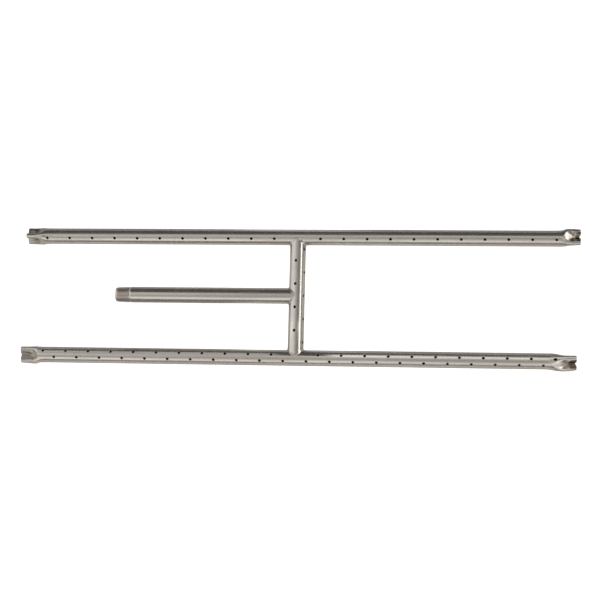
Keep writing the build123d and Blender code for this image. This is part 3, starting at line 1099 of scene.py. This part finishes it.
# Cards between the bars that only the metal sees, in metres: name, low and high corner in x and z,
# and brightness
CARD_Y = -0.022
CARD_WATTS = 4
CARDS = (
    ("left_card", (-0.38, 0.038), (-0.03, 0.085), 0.45),
    ("right_card_low", (0.03, 0.038), (0.31, 0.052), 0.25),
    ("right_card_high", (0.03, 0.056), (0.31, 0.108), 0.95),
)

# Camera: metres, radians, and millimetres for the lens and its sensor
CAMERA_PLACE = (0.28243, -0.23351, 2.04109)
CAMERA_TURN = (0.115388, 0.133528, 0.024989)
CAMERA_LENS = 113.98
CAMERA_SENSOR = 36
CAMERA_REACH = 20


def ramp(tree, angle, stops):
    """Brightness from an angle in radians, by stops in degrees."""
    share = spread(tree, angle, -pi, pi, kind="LINEAR")
    node = tree.nodes.new("ShaderNodeValToRGB")
    tree.links.new(share, node.inputs["Fac"])
    elements = node.color_ramp.elements
    elements[0].position = 0
    elements[1].position = 1
    for degrees, _ in stops[1:-1]:
        elements.new((degrees + 180) / 360)
    for element, (_, brightness) in zip(elements, stops):
        level = brightness / BRIGHTEST
        element.color = (level, level, level, 1)
    return node.outputs["Color"]


def studio():
    """The surroundings: banded soft boxes for the metal, and plain white to the camera."""
    world = bpy.data.worlds.new("studio")
    bpy.context.scene.world = world
    world.use_nodes = True
    tree = world.node_tree
    background = tree.nodes["Background"]
    coordinates = tree.nodes.new("ShaderNodeTexCoord")
    split = tree.nodes.new("ShaderNodeSeparateXYZ")
    tree.links.new(coordinates.outputs["Generated"], split.inputs[0])
    x, y, z = split.outputs
    forward = calculate(tree, "MULTIPLY", y, -1.0)
    lengthways = ramp(tree, calculate(tree, "ARCTAN2", forward, z), FRONT_TO_REAR)
    sideways = ramp(tree, calculate(tree, "ARCTAN2", x, z), LEFT_TO_RIGHT)
    across = calculate(tree, "MULTIPLY", x, x)
    along = calculate(tree, "MULTIPLY", y, y)
    total = calculate(tree, "ADD", calculate(tree, "ADD", across, along), UPRIGHT_EASE)
    share = spread(tree, calculate(tree, "DIVIDE", across, total), *SIDEWAYS_FADE)
    seen = blend_colours(tree, share, lengthways, sideways)
    # At most a quarter, so the shade is four times it
    between = calculate(tree, "MULTIPLY", share, calculate(tree, "SUBTRACT", 1.0, share))
    shaded = spread(tree, total, *CORNER_FADE, 0, 4 * CORNER_SHADE)
    corner = calculate(tree, "MULTIPLY", between, shaded)
    seen = blend_colours(tree, corner, seen, (0, 0, 0))
    for towards, inner, outer, level in CORNER_BOXES:
        facing = tree.nodes.new("ShaderNodeVectorMath")
        facing.operation = "DOT_PRODUCT"
        tree.links.new(coordinates.outputs["Generated"], facing.inputs[0])
        facing.inputs[1].default_value = Vector(towards).normalized()
        brightened = spread(tree, facing.outputs["Value"], cos(radians(outer)), cos(radians(inner)))
        seen = blend_colours(tree, brightened, seen, (level / BRIGHTEST,) * 3)
    brighter = tree.nodes.new("ShaderNodeVectorMath")
    brighter.operation = "SCALE"
    tree.links.new(seen, brighter.inputs[0])
    brighter.inputs["Scale"].default_value = BRIGHTEST
    path = tree.nodes.new("ShaderNodeLightPath")
    to_camera = blend_colours(tree, path.outputs["Is Camera Ray"], brighter.outputs[0], (1, 1, 1))
    tree.links.new(to_camera, background.inputs["Color"])
    background.inputs["Strength"].default_value = STUDIO_STRENGTH


def lamp(name, size, place, power, glossy):
    """A soft area light above the burner, aimed at it."""
    light = bpy.data.lights.new(name, "AREA")
    light.shape = "SQUARE"
    light.size = size
    light.energy = power
    holder = bpy.data.objects.new(name, light)
    holder.location = place
    holder.rotation_euler = (-Vector(place)).to_track_quat("-Z", "Y").to_euler()
    holder.visible_camera = False
    holder.visible_glossy = glossy
    bpy.context.scene.collection.objects.link(holder)


def card(name, low, high, brightness):
    """An upright soft box that only the metal sees, facing the front."""
    width, height = high[0] - low[0], high[1] - low[1]
    light = bpy.data.lights.new(name, "AREA")
    light.shape = "RECTANGLE"
    light.size = width
    light.size_y = height
    light.energy = brightness * CARD_WATTS * width * height
    holder = bpy.data.objects.new(name, light)
    holder.location = ((low[0] + high[0]) / 2, CARD_Y, (low[1] + high[1]) / 2)
    holder.rotation_euler = (-pi / 2, 0, 0)
    holder.visible_camera = False
    holder.visible_diffuse = False
    bpy.context.scene.collection.objects.link(holder)


def camera():
    """A long lens above the burner, a little to its right and front."""
    lens = bpy.data.cameras.new("camera")
    lens.sensor_width = CAMERA_SENSOR
    lens.lens = CAMERA_LENS
    lens.clip_end = CAMERA_REACH
    holder = bpy.data.objects.new("camera", lens)
    holder.location = CAMERA_PLACE
    holder.rotation_euler = CAMERA_TURN
    bpy.context.scene.collection.objects.link(holder)
    bpy.context.scene.camera = holder


lengthwise_steel = tube_steel("tube_steel_lengthwise", 0)
crosswise_steel = tube_steel("tube_steel_crosswise", 1)
bead_metal = weld_metal("weld_bead")


def finish_piece(piece, node, material):
    """Gives a piece its material and ties it to the frame."""
    piece.data.materials.clear()
    piece.data.materials.append(material)
    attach(piece, "root")
    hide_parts(node)


for node, bar_y, ends, crimps, rows in (
    ("rear_bar", REAR_Y, REAR_ENDS, (REAR_LEFT_CRIMP, REAR_RIGHT_CRIMP), REAR_ROWS),
    ("front_bar", FRONT_Y, FRONT_ENDS, (FRONT_LEFT_CRIMP, FRONT_RIGHT_CRIMP), FRONT_ROWS),
):
    tube = bar(f"{node}_steel", bar_y, ends, crimps, rows)
    finish_piece(tube, node, lengthwise_steel)
finish_piece(cross_tube(), "cross_tube", crosswise_steel)
finish_piece(inlet_pipe(), "inlet_pipe", lengthwise_steel)

for node, centre, branch, seed in JOINTS:
    bead = saddle_weld(f"{node}_bead", centre, branch, seed)
    finish_piece(bead, node, bead_metal)

for node, end_x, bar_y, crimp in (
    ("front_left_end_weld", FRONT_ENDS[0], FRONT_Y, FRONT_LEFT_CRIMP),
    ("front_right_end_weld", FRONT_ENDS[1], FRONT_Y, FRONT_RIGHT_CRIMP),
    ("rear_left_end_weld", REAR_ENDS[0], REAR_Y, REAR_LEFT_CRIMP),
    ("rear_right_end_weld", REAR_ENDS[1], REAR_Y, REAR_RIGHT_CRIMP),
):
    bead = end_weld(f"{node}_bead", end_x, bar_y, crimp)
    finish_piece(bead, node, bead_metal)

backdrop()
studio()
lamp("floor_fill", size=2.5, place=(0, 0, 3.0), power=60, glossy=False)
for name, low, high, brightness in CARDS:
    card(name, low, high, brightness)
camera()
bpy.context.scene.view_settings.view_transform = "Standard"
